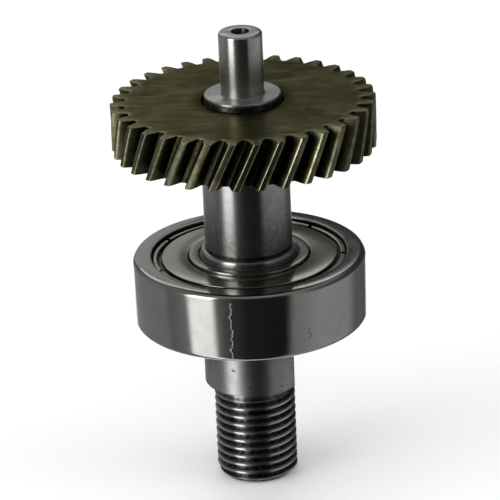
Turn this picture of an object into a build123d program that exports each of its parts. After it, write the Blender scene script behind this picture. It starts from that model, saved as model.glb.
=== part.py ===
from build123d import *

import math
import os

# Output spindle of a portable power tool: a ground spindle that carries a pressed-on helical gear
# and a shielded deep-groove ball bearing, with a threaded nose for the accessory.
# Millimetres. The origin is the centre of the bearing, +Z runs along the spindle to the gear end.

# Driving dimensions ---------------------------------------------------------------------------

# Ball bearing, 17 x 40 x 12 boundary size
BEARING_BORE = 17.0
BEARING_OD = 40.0
BEARING_WIDTH = 12.0
BALL_COUNT = 8
BALL_DIAMETER = 6.747
BALL_CIRCLE = 28.5
RACE_CLEARANCE = 0.03
INNER_SHOULDER = 24.5
OUTER_SHOULDER = 33.0
INNER_RECESS = 20.6
OUTER_RECESS = 33.6
RECESS_DEPTH = 1.3
RING_CORNER = 0.6
BORE_CORNER = 0.4
RECESS_CORNER = 0.15
RACE_CONFORMITY = 0.52
LIP_SEAT_TOP = 0.5
LIP_SEAT_BOTTOM = 1.2
LIP_ENTRY = 0.3

# Pressed-steel shields
SHEET = 0.4
SHIELD_BORE = 21.1
SHIELD_SUNK = 0.45
SHIELD_FLAT = 29.8
CHANNEL_DEPTH = 0.75
LIP_INNER = 31.4
LIP_OUTER = 34.0
LIP_SUNK = 0.5
LIP_TURN = 0.45
LIP_TURN_HEIGHT = 0.3
LIP_EDGE = 0.35
BEND = 0.2
SLIT_COUNT = 7
SLIT_WIDTH = 0.9
FIRST_SLIT = -4.5

# Riveted ribbon cage
CAGE_SHEET = 0.6
CAGE_BAND = 2.8
POCKET_CLEARANCE = 0.12
RIVET_SHANK = 1.0
RIVET_HEAD = 1.9
RIVET_HEAD_HEIGHT = 0.35
RIVET_HEAD_SLOPE = 0.15

# Helical gear
TEETH = 34
NORMAL_MODULE = 1.15
HELIX_ANGLE = 24.0
PRESSURE_ANGLE = 20.0
GEAR_TIP = 44.9
GEAR_WIDTH = 8.2
GEAR_BORE = 13.0
GEAR_BORE_CHAMFER = 0.6
TOOTH_CHAMFER = 0.15
TOOTH_THINNING = 0.08
TOOTH_PHASE = 0.9
DEDENDUM = 1.25
FLANK_STEPS = 4

# Spindle, heights measured from the centre of the bearing
SHOULDER_TOP = 7.2
GEAR_SHOULDER = 25.6
GEAR_SEAT_TOP = 34.9
JOURNAL_TOP = 45.8
COLLAR_BOTTOM = -17.6
THREAD_TOP = -19.2
THREAD_END = -35.1
SHAFT_DIAMETER = 15.0
JOURNAL_DIAMETER = 7.5
THREAD_DIAMETER = 14.0
NECK_DIAMETER = 13.2
COLLAR_FLAT_OFFSET = 6.95
COLLAR_FLAT_TOP = -6.8
COLLAR_CHAMFER = 0.25
JOURNAL_END_ROUND = 0.35
JOURNAL_ROOT_FILLET = 0.35
BEAD_ROUND = 0.5
SHAFT_ROOT_FILLET = 0.35
GEAR_SEAT_CHAMFER = 0.25
NOSE_CHAMFER = 1.0
CENTRE_MOUTH = 3.2
CENTRE_PILOT = 1.8
CENTRE_DEPTH = 4.5
CENTRE_CONE = 60.0

# Values that follow ---------------------------------------------------------------------------

HALF_WIDTH = BEARING_WIDTH / 2
BALL_RADIUS = BALL_DIAMETER / 2
PITCH_RADIUS = BALL_CIRCLE / 2
RACE_CURVE = RACE_CONFORMITY * BALL_DIAMETER
CUT_MARGIN = 1.0
SAME = 0.001


def turned(points):
    """Solid of revolution about Z from a closed outline of (radius, height) points."""
    outline = Polyline([(radius, 0, height) for radius, height in points], close=True)
    return revolve(make_face(outline), Axis.Z)


def rim(part, radius, height):
    """Circular edges of a turned part that have one radius and one height."""
    found = []
    for edge in part.edges().filter_by(GeomType.CIRCLE):
        same_radius = abs(edge.radius - radius) < SAME
        same_height = abs(edge.arc_center.Z - height) < SAME
        if same_radius and same_height:
            found.append(edge)
    return found


def centre_hole(height, direction):
    """Centre-drilled hole with a 60 degree mouth, going down from a face at one height."""
    mouth = CENTRE_MOUTH / 2
    pilot = CENTRE_PILOT / 2
    cone_depth = (mouth - pilot) / math.tan(math.radians(CENTRE_CONE / 2))
    return turned([
        (0, height + direction * CUT_MARGIN),
        (mouth, height + direction * CUT_MARGIN),
        (mouth, height),
        (pilot, height - direction * cone_depth),
        (pilot, height - direction * CENTRE_DEPTH),
        (0, height - direction * (CENTRE_DEPTH + pilot)),
    ])


def flat_cutter():
    """Block that cuts the single flat into the +X side of the collar."""
    height = COLLAR_FLAT_TOP - COLLAR_BOTTOM
    return Pos(COLLAR_FLAT_OFFSET + BEARING_BORE / 2, 0, COLLAR_BOTTOM + height / 2) * Box(
        BEARING_BORE, 2 * BEARING_BORE, height)


def make_spindle():
    """One-piece spindle: journal, gear seat, shaft, bearing seat, collar with a flat, threaded nose."""
    seat = BEARING_BORE / 2
    shaft = SHAFT_DIAMETER / 2
    gear_seat = GEAR_BORE / 2
    journal = JOURNAL_DIAMETER / 2
    thread = THREAD_DIAMETER / 2
    neck = NECK_DIAMETER / 2
    body = turned([
        (0, THREAD_END),
        (thread, THREAD_END),
        (thread, THREAD_TOP),
        (neck, THREAD_TOP + (thread - neck)),
        (neck, COLLAR_BOTTOM),
        (seat, COLLAR_BOTTOM),
        (seat, SHOULDER_TOP),
        (shaft, SHOULDER_TOP),
        (shaft, GEAR_SHOULDER),
        (gear_seat, GEAR_SHOULDER),
        (gear_seat, GEAR_SEAT_TOP),
        (journal, GEAR_SEAT_TOP),
        (journal, JOURNAL_TOP),
        (0, JOURNAL_TOP),
    ])
    body = fillet(rim(body, journal, JOURNAL_TOP), JOURNAL_END_ROUND)
    body = fillet(rim(body, journal, GEAR_SEAT_TOP), JOURNAL_ROOT_FILLET)
    body = fillet(rim(body, seat, SHOULDER_TOP), BEAD_ROUND)
    body = fillet(rim(body, shaft, SHOULDER_TOP), SHAFT_ROOT_FILLET)
    body = chamfer(rim(body, gear_seat, GEAR_SEAT_TOP), GEAR_SEAT_CHAMFER)
    body = chamfer(rim(body, seat, COLLAR_BOTTOM), COLLAR_CHAMFER)
    body = chamfer(rim(body, thread, THREAD_END), NOSE_CHAMFER)
    return body - flat_cutter() - centre_hole(JOURNAL_TOP, 1) - centre_hole(THREAD_END, -1)


def involute(base_radius, radius):
    """Involute function of the pressure angle at one radius."""
    angle = math.acos(min(1.0, base_radius / radius))
    return math.tan(angle) - angle


def tooth_outline():
    """Closed transverse outline of the helical gear."""
    helix = math.radians(HELIX_ANGLE)
    pressure = math.atan(math.tan(math.radians(PRESSURE_ANGLE)) / math.cos(helix))
    module = NORMAL_MODULE / math.cos(helix)
    pitch_radius = module * TEETH / 2
    base_radius = pitch_radius * math.cos(pressure)
    root_radius = pitch_radius - DEDENDUM * NORMAL_MODULE
    tip_radius = GEAR_TIP / 2
    half_tooth = (math.pi * module / 2 - TOOTH_THINNING) / 2 / pitch_radius
    start = max(root_radius, base_radius)
    half_at_pitch = half_tooth + involute(base_radius, pitch_radius)
    flank_radii = [start + (tip_radius - start) * step / FLANK_STEPS for step in range(FLANK_STEPS + 1)]
    half_angles = [half_at_pitch - involute(base_radius, radius) for radius in flank_radii]
    if start > root_radius:
        flank_radii.insert(0, root_radius)
        half_angles.insert(0, half_angles[0])

    def at(radius, angle):
        return (radius * math.cos(angle), radius * math.sin(angle))

    edges = []
    pitch_angle = 2 * math.pi / TEETH
    for tooth in range(TEETH):
        centre = math.radians(TOOTH_PHASE) + tooth * pitch_angle
        rising = [at(r, centre - half) for r, half in zip(flank_radii, half_angles)]
        falling = [at(r, centre + half) for r, half in zip(flank_radii, half_angles)][::-1]
        following = at(root_radius, centre + pitch_angle - half_angles[0])
        edges.append(Spline(rising))
        edges.append(ThreePointArc(rising[-1], at(tip_radius, centre), falling[0]))
        edges.append(Spline(falling))
        edges.append(ThreePointArc(falling[-1], at(root_radius, centre + pitch_angle / 2), following))
    return make_face(edges)


def make_helical_gear():
    """Right-hand helical gear, bored to press on the spindle's gear seat."""
    helix = math.radians(HELIX_ANGLE)
    pitch_radius = NORMAL_MODULE / math.cos(helix) * TEETH / 2
    twist = math.degrees(GEAR_WIDTH * math.tan(helix) / pitch_radius)
    toothed = Solid.extrude_linear_with_rotation(
        tooth_outline().face(), center=(0, 0, 0), normal=(0, 0, GEAR_WIDTH), angle=twist)
    tip = GEAR_TIP / 2
    bore = GEAR_BORE / 2
    blank = turned([
        (bore + GEAR_BORE_CHAMFER, 0),
        (tip - TOOTH_CHAMFER, 0),
        (tip, TOOTH_CHAMFER),
        (tip, GEAR_WIDTH - TOOTH_CHAMFER),
        (tip - TOOTH_CHAMFER, GEAR_WIDTH),
        (bore + GEAR_BORE_CHAMFER, GEAR_WIDTH),
        (bore, GEAR_WIDTH - GEAR_BORE_CHAMFER),
        (bore, GEAR_BORE_CHAMFER),
    ])
    return Pos(0, 0, GEAR_SHOULDER) * (Part() + toothed & blank)


def race_cutter(groove_centre):
    """Ring of the raceway's cross-section circle, about the bearing's axis."""
    return Torus(groove_centre, RACE_CURVE)


def make_inner_ring():
    """Inner ring with a ball groove and a step under each shield."""
    bore = BEARING_BORE / 2
    recess = INNER_RECESS / 2
    shoulder = INNER_SHOULDER / 2
    step = HALF_WIDTH - RECESS_DEPTH
    ring = turned([
        (bore, -HALF_WIDTH),
        (recess, -HALF_WIDTH),
        (recess, -step),
        (shoulder, -step),
        (shoulder, step),
        (recess, step),
        (recess, HALF_WIDTH),
        (bore, HALF_WIDTH),
    ])
    for height in (-HALF_WIDTH, HALF_WIDTH):
        ring = fillet(rim(ring, bore, height), BORE_CORNER)
        ring = fillet(rim(ring, recess, height), RECESS_CORNER)
    groove_centre = PITCH_RADIUS - BALL_RADIUS - RACE_CLEARANCE + RACE_CURVE
    return ring - race_cutter(groove_centre)


def make_outer_ring():
    """Outer ring with a ball groove and a seat for each shield's lip."""
    outside = BEARING_OD / 2
    recess = OUTER_RECESS / 2
    seat = LIP_OUTER / 2
    shoulder = OUTER_SHOULDER / 2
    profile = []
    for side in (-1, 1):
        half = [
            (outside, HALF_WIDTH),
            (recess, HALF_WIDTH),
            (recess, HALF_WIDTH - LIP_ENTRY),
            (seat, HALF_WIDTH - LIP_SEAT_TOP),
            (seat, HALF_WIDTH - LIP_SEAT_BOTTOM),
            (shoulder, HALF_WIDTH - RECESS_DEPTH),
        ]
        points = [(radius, side * height) for radius, height in half]
        profile += points if side < 0 else points[::-1]
    ring = turned(profile)
    for height in (-HALF_WIDTH, HALF_WIDTH):
        ring = fillet(rim(ring, outside, height), RING_CORNER)
    groove_centre = PITCH_RADIUS + BALL_RADIUS + RACE_CLEARANCE - RACE_CURVE
    return ring - race_cutter(groove_centre)


def make_shield(side):
    """Pressed-steel shield: flat annulus, pressed-down channel and a slit lip held in the outer ring."""
    top = HALF_WIDTH - SHIELD_SUNK
    channel = top - CHANNEL_DEPTH
    lip = HALF_WIDTH - LIP_SUNK
    turn = lip - LIP_TURN_HEIGHT
    flat = SHIELD_FLAT / 2
    lip_inner = LIP_INNER / 2
    lip_outer = LIP_OUTER / 2
    upper_line = [
        (SHIELD_BORE / 2, top),
        (flat, top),
        (flat + BEND, channel),
        (lip_inner - BEND, channel),
        (lip_inner, lip),
        (lip_outer - LIP_TURN, lip),
        (lip_outer, turn),
    ]
    lower_line = [
        (lip_outer, turn - LIP_EDGE),
        (lip_outer - LIP_TURN - BEND, lip - SHEET),
        (lip_inner + SHEET, lip - SHEET),
        (lip_inner + BEND, channel - SHEET),
        (flat - BEND, channel - SHEET),
        (flat - 2 * BEND, top - SHEET),
        (SHIELD_BORE / 2, top - SHEET),
    ]
    shield = turned(upper_line + lower_line)
    slit = Pos(lip_outer, 0, HALF_WIDTH) * Box(2 * (lip_outer - lip_inner), SLIT_WIDTH, HALF_WIDTH)
    for index in range(SLIT_COUNT):
        shield = shield - Rot(0, 0, FIRST_SLIT + index * 360 / SLIT_COUNT) * slit
    if side > 0:
        return shield
    return Rot(180, 0, 0) * shield


def make_ball(index):
    """One ball on the bearing's pitch circle."""
    return Rot(0, 0, index * 360 / BALL_COUNT) * Pos(PITCH_RADIUS, 0, 0) * Sphere(BALL_RADIUS)


def rivet_angles():
    """Angles of the rivets, midway between the balls."""
    step = 360 / BALL_COUNT
    return [(index + 0.5) * step for index in range(BALL_COUNT)]


def make_cage_half(side):
    """Half of the ribbon cage: flat lands between domed half pockets, with rivet holes."""
    pocket_inner = BALL_RADIUS + POCKET_CLEARANCE
    pocket_outer = pocket_inner + CAGE_SHEET
    inner = PITCH_RADIUS - CAGE_BAND / 2
    outer = PITCH_RADIUS + CAGE_BAND / 2
    height = pocket_outer + CUT_MARGIN
    band = turned([(inner, 0), (outer, 0), (outer, height), (inner, height)])
    land = turned([(inner, 0), (outer, 0), (outer, CAGE_SHEET), (inner, CAGE_SHEET)])
    domes = Part()
    hollows = Part()
    for index in range(BALL_COUNT):
        place = Rot(0, 0, index * 360 / BALL_COUNT) * Pos(PITCH_RADIUS, 0, 0)
        domes += place * Sphere(pocket_outer)
        hollows += place * Sphere(pocket_inner)
    half = land + (domes & band) - hollows
    for angle in rivet_angles():
        hole = Rot(0, 0, angle) * Pos(PITCH_RADIUS, 0, 0) * Cylinder(RIVET_SHANK / 2, 4 * CAGE_SHEET)
        half = half - hole
    if side > 0:
        return half
    return Rot(180, 0, 0) * half


def make_cage_rivets():
    """Rivets that hold the cage halves together, one separate solid each."""
    grip = CAGE_SHEET
    head = CAGE_SHEET + RIVET_HEAD_HEIGHT
    rivet = turned([
        (0, -head),
        (RIVET_HEAD / 2 - RIVET_HEAD_SLOPE, -head),
        (RIVET_HEAD / 2, -grip),
        (RIVET_SHANK / 2, -grip),
        (RIVET_SHANK / 2, grip),
        (RIVET_HEAD / 2, grip),
        (RIVET_HEAD / 2 - RIVET_HEAD_SLOPE, head),
        (0, head),
    ])
    placed = [Rot(0, 0, angle) * Pos(PITCH_RADIUS, 0, 0) * rivet for angle in rivet_angles()]
    return Compound(children=[part.solid() for part in placed])


def all_parts():
    """Every sub-part under its node name."""
    parts = {
        "spindle": make_spindle(),
        "helical_gear": make_helical_gear(),
        "inner_ring": make_inner_ring(),
        "outer_ring": make_outer_ring(),
        "upper_shield": make_shield(1),
        "lower_shield": make_shield(-1),
        "cage_upper": make_cage_half(1),
        "cage_lower": make_cage_half(-1),
        "cage_rivets": make_cage_rivets(),
    }
    for index in range(BALL_COUNT):
        parts[f"ball_{index + 1}"] = make_ball(index)
    return parts


os.makedirs("parts", exist_ok=True)
for name, shape in all_parts().items():
    export_step(shape, f"parts/{name}.step")
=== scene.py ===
import math

import bmesh
import bpy
from mathutils import Matrix, Vector


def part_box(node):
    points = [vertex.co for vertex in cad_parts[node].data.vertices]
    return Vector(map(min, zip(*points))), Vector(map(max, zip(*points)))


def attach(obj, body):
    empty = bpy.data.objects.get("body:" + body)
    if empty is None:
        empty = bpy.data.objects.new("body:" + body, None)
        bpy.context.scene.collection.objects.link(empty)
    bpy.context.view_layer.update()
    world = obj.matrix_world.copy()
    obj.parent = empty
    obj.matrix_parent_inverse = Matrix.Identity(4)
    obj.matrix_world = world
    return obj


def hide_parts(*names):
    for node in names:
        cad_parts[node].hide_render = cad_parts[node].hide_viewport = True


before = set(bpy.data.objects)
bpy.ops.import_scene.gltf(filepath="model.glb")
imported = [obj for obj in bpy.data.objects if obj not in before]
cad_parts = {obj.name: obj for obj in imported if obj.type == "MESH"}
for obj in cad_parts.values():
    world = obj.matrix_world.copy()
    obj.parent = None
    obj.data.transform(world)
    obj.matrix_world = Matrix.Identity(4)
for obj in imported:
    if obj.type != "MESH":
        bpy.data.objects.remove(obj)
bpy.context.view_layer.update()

# Output spindle of a power tool, standing on its threaded nose. Shapes are in millimetres, in the
# frame of the CAD model (origin at the centre of the bearing), and meshes are written in metres.

MM = 0.001

# Fineness of the meshes
COLUMNS = 256
SHIELD_COLUMNS = 504
CORNER_STEPS = 5
OUTSIDE_CORNER_STEPS = 7
RACE_STEPS = 16
MERGE_METRES = 2e-7

# A radius that counts as none, a height difference that counts as none, and a step too small to see
ON_AXIS = 1e-6
SAME = 0.001
HAIR = 0.01


def high(node):
    """Top of a CAD node, in millimetres."""
    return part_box(node)[1][2] / MM


def low(node):
    """Bottom of a CAD node, in millimetres."""
    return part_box(node)[0][2] / MM


def radius(node):
    """Radius of a round CAD node, in millimetres."""
    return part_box(node)[1][1] / MM


# Sizes ----------------------------------------------------------------------------------------

# Bearing rings. FACE is the height of their upper faces, and the rest of the bearing hangs from it.
FACE = high("outer_ring")
RING_RADIUS = radius("outer_ring")
BORE_RADIUS = radius("spindle")
INNER_FACE_RADIUS = 10.3
OUTER_RECESS_RADIUS = 16.8
INNER_SHOULDER_RADIUS = 12.25
OUTER_SHOULDER_RADIUS = 16.5
RECESS_FLOOR = FACE - 1.3
LIP_SEAT_BOTTOM = FACE - 1.2
LIP_SEAT_TOP = FACE - 0.5
LIP_ENTRY = FACE - 0.3
RACE_CENTRE_INNER = 14.355
RACE_CENTRE_OUTER = 14.145
RACE_CURVE = 3.508
OUTSIDE_CORNER = 0.95
BORE_CORNER = 0.35
FACE_CORNER = 0.12
RECESS_CORNER = 0.1
GROOVE_CORNER = 0.05

# Pressed-steel shields, curled over into a lip at the outer ring
SHEET = 0.4
SHIELD_BORE_RADIUS = 10.55
SHIELD_RADIUS = radius("upper_shield")
SHIELD_TOP = FACE - 0.45
SHIELD_FLAT_RADIUS = 14.9
CHANNEL = SHIELD_TOP - 0.75
LIP_TOP = FACE - 0.5
LIP_INNER_RADIUS = 15.75
LIP_ROUND = 0.2
BEND = 0.1
STEP_BEND = 0.15
SHEET_EDGE = 0.05
SLITS = 7
FIRST_SLIT = math.radians(-4.5)
SLIT_HALF_WIDTH = 0.42

# Helical gear. TIP_EDGE holds depths below the tip and angles in from the flank.
GEAR_TOP = high("helical_gear")
GEAR_BOTTOM = low("helical_gear")
GEAR_RADIUS = radius("helical_gear") - 0.002
TEETH = 34
NORMAL_MODULE = 1.15
HELIX = math.radians(24.0)
PRESSURE = math.radians(20.0)
TRANSVERSE_MODULE = NORMAL_MODULE / math.cos(HELIX)
PITCH_RADIUS = TRANSVERSE_MODULE * TEETH / 2
DEDENDUM = 1.25
BACKLASH = 0.08
ROOT_ROUND = 0.28
ROOT_RISE = 0.06
TIP_ROUND = 0.08
TIP_EDGE = ((0.02, 0.0012), (0.0, 0.0045))
TOOTH_PHASE = math.radians(0.9)
FLANK_STEPS = 7
TWIST_STEPS = 6
RIM = 0.3
FACE_BEVEL = 0.07
TIP_CHAMFER = 0.12
GEAR_BORE_CHAMFER = 0.6
BORE_EDGE_RADIUS = 0.03
FACE_RADII = (19.3, 17.0, 13.0, 9.5)
# Rubbed tooth edges and flanks, lightened also as painted glints and painted highlights.
RUB_GLINT_EDGE = 0.1
RUB_GLINT_FLANK_RADIUS = 20.3
FLANK_RUB_AND_GLINT = 0.12
FACE_EDGE_RUB_AND_GLINT = 0.5

# Spindle. The relief is measured up from the gear seat, and the undercut up from the shoulder.
JOURNAL_TOP = high("spindle")
NOSE_END = low("spindle")
JOURNAL_RADIUS = 3.75
JOURNAL_END_ROUND = 0.5
JOURNAL_FILLET = 0.3
RELIEF_TOP = 2.0
RELIEF_BOTTOM = 1.8
RELIEF_DEPTH = 0.06
GEAR_SEAT_RADIUS = 6.5
GEAR_SEAT_TOP = 34.9
GEAR_SEAT_ROUND = 0.22
# Depth of the band in the gear's bore chamfer that is darkened with old oil and painted shade; the seat's
# outline has a point there too.
CHAMFER_SHADE_AND_OIL_DEPTH = 0.5
SHAFT_RADIUS = 7.5
SHAFT_ROUND = 0.15
SMALL_ROUND = 0.1
UNDERCUT_TOP = 0.55
UNDERCUT_EDGE = 0.4
UNDERCUT_DEPTH = 0.35
UNDERCUT_FILLET = 0.15
SHOULDER_TOP = 7.2
BEAD_RADIUS = 8.2
BEAD_ROUND = 0.6
SEAT_LEAD = 0.1
COLLAR_BOTTOM = -17.6
COLLAR_FLAT = 6.95
COLLAR_FLAT_TOP = -6.8
COLLAR_ROUND = 0.2
NECK_RADIUS = 6.6
NECK_FILLET = 0.15
THREAD_RADIUS = 7.0
THREAD_PITCH = 1.5
THREAD_ROOT_RADIUS = 6.12
THREAD_START = -19.2
THREAD_PHASE = 0.27
THREAD_ROWS = 20
NOSE_CHAMFER_RADIUS = THREAD_ROOT_RADIUS - 0.25
CENTRE_MOUTH = 1.6
CENTRE_PILOT = 0.9
CENTRE_EDGE = 0.06
CENTRE_DEPTH = 4.5
CENTRE_POINT_DEPTH = 5.4
CENTRE_CONE = (CENTRE_MOUTH - CENTRE_PILOT) / math.tan(math.radians(30))


# Mesh building --------------------------------------------------------------------------------

def rounded(points, steps=CORNER_STEPS):
    """Outline of (r, z) points in which a third value rounds that corner with an arc."""
    out = []
    count = len(points)
    for index, point in enumerate(points):
        if len(point) == 2:
            out.append((point[0], point[1]))
            continue
        corner = Vector((point[0], point[1]))
        before = Vector(points[index - 1][:2])
        after = Vector(points[(index + 1) % count][:2])
        to_before = (before - corner).normalized()
        to_after = (after - corner).normalized()
        half = to_before.angle(to_after) / 2
        reach = point[2] / math.tan(half)
        centre = corner + (to_before + to_after).normalized() * (point[2] / math.sin(half))
        first = corner + to_before * reach - centre
        last = corner + to_after * reach - centre
        turn = first.angle_signed(last)
        for step in range(steps + 1):
            part = -turn * step / steps
            spot = centre + Matrix.Rotation(part, 2) @ first
            out.append((spot.x, spot.y))
    return out


def ring_points(outline, columns):
    """Vertices of each outline point turned about Z. A point on the axis is a single vertex."""
    vertices = []
    rings = []
    for r, z in outline:
        if r < ON_AXIS:
            rings.append([len(vertices)] * columns)
            vertices.append((0.0, 0.0, z))
            continue
        rings.append([len(vertices) + column for column in range(columns)])
        for column in range(columns):
            angle = 2 * math.pi * column / columns
            vertices.append((r * math.cos(angle), r * math.sin(angle), z))
    return vertices, rings


def skin(rings, closed):
    """Faces between neighbouring rings of vertices."""
    faces = []
    pairs = list(zip(rings, rings[1:]))
    if closed:
        pairs.append((rings[-1], rings[0]))
    for upper, lower in pairs:
        columns = len(upper)
        for column in range(columns):
            after = (column + 1) % columns
            face = [upper[column], lower[column], lower[after], upper[after]]
            face = list(dict.fromkeys(face))
            if len(face) > 2:
                faces.append(face)
    return faces


def new_piece(name, vertices, faces):
    """Object in the scene from vertices in millimetres."""
    mesh = bpy.data.meshes.new(name)
    mesh.from_pydata([(x * MM, y * MM, z * MM) for x, y, z in vertices], [], faces)
    piece = bpy.data.objects.new(name, mesh)
    bpy.context.scene.collection.objects.link(piece)
    return piece


def smooth(mesh, sharp):
    """Smooth shading, with the edges above an angle in degrees left sharp."""
    mesh.shade_smooth()
    mesh.set_sharp_from_angle(angle=math.radians(sharp))


def add_piece(name, vertices, faces, sharp=35.0):
    """Smooth object with doubles merged and normals outwards."""
    piece = new_piece(name, vertices, faces)
    work = bmesh.new()
    work.from_mesh(piece.data)
    bmesh.ops.remove_doubles(work, verts=work.verts, dist=MERGE_METRES)
    bmesh.ops.dissolve_degenerate(work, edges=work.edges, dist=MERGE_METRES)
    bmesh.ops.recalc_face_normals(work, faces=work.faces)
    work.to_mesh(piece.data)
    work.free()
    smooth(piece.data, sharp)
    return piece


def lathe(name, outline):
    """Turned piece from a closed outline."""
    vertices, rings = ring_points(outline, COLUMNS)
    return add_piece(name, vertices, skin(rings, True))


def paint(piece, layer_name, worth):
    """Stores a value from 0 to 1 on every vertex, worked out from its place in millimetres."""
    vertices = piece.data.vertices
    layer = piece.data.attributes.new(layer_name, "FLOAT", "POINT")
    values = [worth(*(value / MM for value in vertex.co)) for vertex in vertices]
    layer.data.foreach_set("value", values)


def fade(value, empty, full):
    """0 at one value, 1 at another, straight between."""
    return min(max((value - empty) / (full - empty), 0.0), 1.0)


# Spindle --------------------------------------------------------------------------------------

def spindle_top_outline():
    """Outline from the upper centre hole down to the neck above the thread."""
    relief_radius = JOURNAL_RADIUS - RELIEF_DEPTH
    undercut_radius = SHAFT_RADIUS - UNDERCUT_DEPTH
    return rounded([
        (0, JOURNAL_TOP - CENTRE_POINT_DEPTH),
        (CENTRE_PILOT, JOURNAL_TOP - CENTRE_DEPTH),
        (CENTRE_PILOT, JOURNAL_TOP - CENTRE_CONE),
        (CENTRE_MOUTH, JOURNAL_TOP, CENTRE_EDGE),
        (JOURNAL_RADIUS, JOURNAL_TOP, JOURNAL_END_ROUND),
        (JOURNAL_RADIUS, GEAR_SEAT_TOP + RELIEF_TOP),
        (relief_radius, GEAR_SEAT_TOP + RELIEF_BOTTOM),
        (relief_radius, GEAR_SEAT_TOP, JOURNAL_FILLET),
        (GEAR_SEAT_RADIUS, GEAR_SEAT_TOP, GEAR_SEAT_ROUND),
        (GEAR_SEAT_RADIUS, GEAR_SEAT_TOP - CHAMFER_SHADE_AND_OIL_DEPTH),
        (GEAR_SEAT_RADIUS, GEAR_BOTTOM, SMALL_ROUND),
        (SHAFT_RADIUS, GEAR_BOTTOM, SHAFT_ROUND),
        (SHAFT_RADIUS, SHOULDER_TOP + UNDERCUT_TOP, SMALL_ROUND),
        (undercut_radius, SHOULDER_TOP + UNDERCUT_EDGE),
        (undercut_radius, SHOULDER_TOP, UNDERCUT_FILLET),
        (BEAD_RADIUS, SHOULDER_TOP, BEAD_ROUND),
        (BEAD_RADIUS, FACE + SEAT_LEAD),
        (BORE_RADIUS, FACE - SEAT_LEAD),
        (BORE_RADIUS, COLLAR_FLAT_TOP),
        (BORE_RADIUS, COLLAR_FLAT_TOP - HAIR),
        (BORE_RADIUS, COLLAR_BOTTOM, COLLAR_ROUND),
        (NECK_RADIUS, COLLAR_BOTTOM, NECK_FILLET),
        (NECK_RADIUS, THREAD_START),
    ])


def spindle_end_outline():
    """Outline of the nose's end face and lower centre hole."""
    return [
        (NOSE_CHAMFER_RADIUS, NOSE_END),
        (CENTRE_MOUTH, NOSE_END),
        (CENTRE_PILOT, NOSE_END + CENTRE_CONE),
        (CENTRE_PILOT, NOSE_END + CENTRE_DEPTH),
        (0, NOSE_END + CENTRE_POINT_DEPTH),
    ]


def cut_collar_flat(vertices):
    """Moves the collar's vertices that lie beyond the flat onto it."""
    cut = []
    for x, y, z in vertices:
        in_collar = COLLAR_BOTTOM - SAME <= z < COLLAR_FLAT_TOP - SAME
        if in_collar and x > COLLAR_FLAT:
            x = COLLAR_FLAT
        cut.append((x, y, z))
    return cut


def thread_radius(turn_part, z):
    """Radius of the thread at a part of one turn of its profile, run out at both ends."""
    crest_part = 0.18
    root_part = 0.20
    straight_share = 0.65
    distance = abs(turn_part - 0.5) * 2
    slope = (distance - crest_part) / (1 - crest_part - root_part)
    depth = min(max(slope, 0.0), 1.0)
    soft = depth * depth * (3 - 2 * depth)
    depth = straight_share * depth + (1 - straight_share) * soft
    r = THREAD_RADIUS - depth * (THREAD_RADIUS - THREAD_ROOT_RADIUS)
    run_in_slope = 0.8
    run_in_floor_slope = 0.5
    run_in_flat = 0.15
    nose_chamfer_slope = 0.95
    from_top = THREAD_START - z
    from_end = z - NOSE_END
    run_in = NECK_RADIUS + from_top * run_in_slope
    nose_chamfer = NOSE_CHAMFER_RADIUS + from_end * nose_chamfer_slope
    roof = min(THREAD_RADIUS, run_in, nose_chamfer)
    floor = NECK_RADIUS - max(0.0, from_top - run_in_flat) * run_in_floor_slope
    return min(max(r, floor), roof)


def thread_mesh():
    """Grid that follows the right-hand helix, its ends drawn in to plain circles."""
    turns = math.ceil((THREAD_START - NOSE_END) / THREAD_PITCH) + 2
    row_count = turns * THREAD_ROWS + 1
    bottom = NOSE_END - THREAD_PITCH
    vertices = []
    for row in range(row_count):
        for column in range(COLUMNS):
            turned = column / COLUMNS
            z = bottom + (row / THREAD_ROWS + turned + THREAD_PHASE - 1) * THREAD_PITCH
            held = min(max(z, NOSE_END), THREAD_START)
            r = thread_radius((row / THREAD_ROWS) % 1.0, held)
            angle = 2 * math.pi * turned
            vertices.append((r * math.cos(angle), r * math.sin(angle), held))
    faces = []
    for row in range(row_count - 1):
        for column in range(COLUMNS - 1):
            here = row * COLUMNS + column
            faces.append([here, here + 1, here + COLUMNS + 1, here + COLUMNS])
    lift = THREAD_ROWS * COLUMNS
    for row in range(row_count - 1 - THREAD_ROWS):
        here = row * COLUMNS + COLUMNS - 1
        across = row * COLUMNS + lift
        faces.append([here, across, across + COLUMNS, here + COLUMNS])
    return vertices, faces


def make_spindle():
    """Spindle with rounded shoulders, the collar's flat and the real helical thread."""
    vertices, rings = ring_points(spindle_top_outline(), COLUMNS)
    vertices = cut_collar_flat(vertices)
    faces = skin(rings, False)
    end_vertices, end_rings = ring_points(spindle_end_outline(), COLUMNS)
    for more, more_faces in ((end_vertices, skin(end_rings, False)), thread_mesh()):
        start = len(vertices)
        vertices += more
        faces += [[start + index for index in face] for face in more_faces]
    piece = add_piece("spindle_ground", vertices, faces, sharp=40.0)
    # Old oil and dirt together with painted shade in the spindle's hollows and joints.
    paint(piece, "dirt_and_shade", spindle_dirt_and_shade)
    paint(piece, "handled", spindle_handling)
    return piece


def spindle_handling(x, y, z):
    """Duller, marked places: the collar, the gear seat's end and the foot of the journal."""
    on_collar = COLLAR_BOTTOM - SAME <= z < FACE and math.hypot(x, y) > NECK_RADIUS + 0.3
    if on_collar:
        return 1.0
    above_seat = z - GEAR_SEAT_TOP
    at_seat_end = -0.4 < above_seat < 0.05
    if at_seat_end:
        return 0.45
    return 0.5 * fade(above_seat, 3.2, 1.4) if above_seat > 0 else 0.0


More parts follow.
